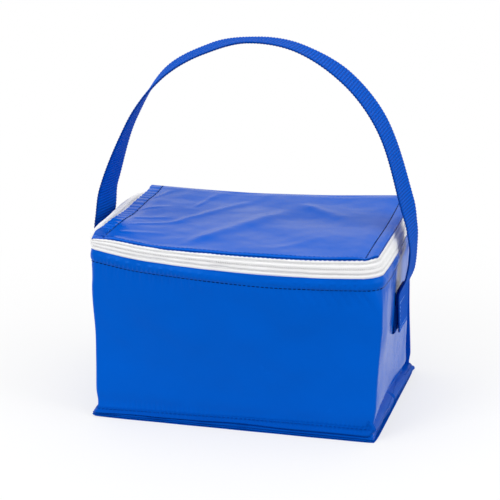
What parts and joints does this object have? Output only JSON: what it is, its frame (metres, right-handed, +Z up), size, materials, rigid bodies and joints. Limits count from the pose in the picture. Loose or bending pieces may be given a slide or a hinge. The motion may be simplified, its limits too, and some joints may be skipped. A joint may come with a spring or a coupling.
{
  "type": "insulated cooler bag",
  "caption": "Small soft-sided insulated cooler bag with a zipped lid that folds at the back, a foam and foil lining and one webbing carrying handle over the top.",
  "frame": {"origin": "middle of the base's underside, on the surface that the bag stands on", "axes": "+X to the bag's right seen from the front, +Y from its front to its back, +Z up"},
  "size_m": [0.2359, 0.1448, 0.2674],
  "materials": {
    "vinyl_blue": "glossy flexible PVC sheet, royal blue",
    "webbing_blue": "ribbed polypropylene webbing, royal blue",
    "zip_white": "white woven zip tape with a nylon coil",
    "slider_white": "white enamelled slider and pull",
    "foam_white": "closed-cell foam sheet, matt white",
    "foil_liner": "crinkled aluminised film"
  },
  "bodies": {
    "bag": {"shell_wrap": "vinyl_blue", "shell_back": "vinyl_blue", "shell_base": "vinyl_blue", "base_binding": "vinyl_blue", "rim_hem": "vinyl_blue", "rear_hem_left": "vinyl_blue", "rear_hem_right": "vinyl_blue", "foam_front": "foam_white", "foam_left": "foam_white", "foam_right": "foam_white", "foam_back": "foam_white", "foam_base": "foam_white", "liner_walls": "foil_liner", "liner_base": "foil_liner", "zip_tape_lower": "zip_white", "zip_coil_lower": "zip_white", "zip_stop_left": "slider_white", "zip_stop_right": "slider_white", "zip_tab_left": "zip_white", "zip_tab_right": "zip_white", "handle_patch_left": "webbing_blue", "handle_patch_right": "webbing_blue"},
    "lid": {"lid_panel": "vinyl_blue", "lid_hem": "vinyl_blue", "foam_lid": "foam_white", "liner_lid": "foil_liner", "zip_tape_upper": "zip_white", "zip_coil_upper": "zip_white"},
    "handle_turn": {"handle_flex_left": "webbing_blue", "handle_flex_right": "webbing_blue"},
    "handle": {"handle_webbing": "webbing_blue"},
    "zip_slider": {"zip_slider": "slider_white"},
    "zip_pull": {"zip_pull": "slider_white"}
  },
  "joints": [
    {"name": "lid_hinge", "type": "hinge", "parent": "bag", "child": "lid", "pos_m": [0, 0.07, 0.136], "axis": [-1, 0, 0], "range_deg": [0, 110]},
    {"name": "handle_follow", "type": "hinge", "parent": "bag", "child": "handle_turn", "pos_m": [0, 0.005, 0.077], "axis": [-1, 0, 0], "range_deg": [0, 94]},
    {"name": "handle_swing", "type": "hinge", "parent": "handle_turn", "child": "handle", "pos_m": [0, 0.005, 0.077], "axis": [-1, 0, 0], "range_deg": [-95, 15]},
    {"name": "slider_run", "type": "slide", "parent": "bag", "child": "zip_slider", "axis": [0, 1, 0], "range_m": [-0.014, 0.097]},
    {"name": "pull_swing", "type": "hinge", "parent": "zip_slider", "child": "zip_pull", "pos_m": [-0.1068, -0.04, 0.1278], "axis": [0, 0, 1], "range_deg": [0, 180]}
  ],
  "couplings": [
    {"joint": "handle_follow", "follows": "lid_hinge", "ratio": 0.85}
  ]
}
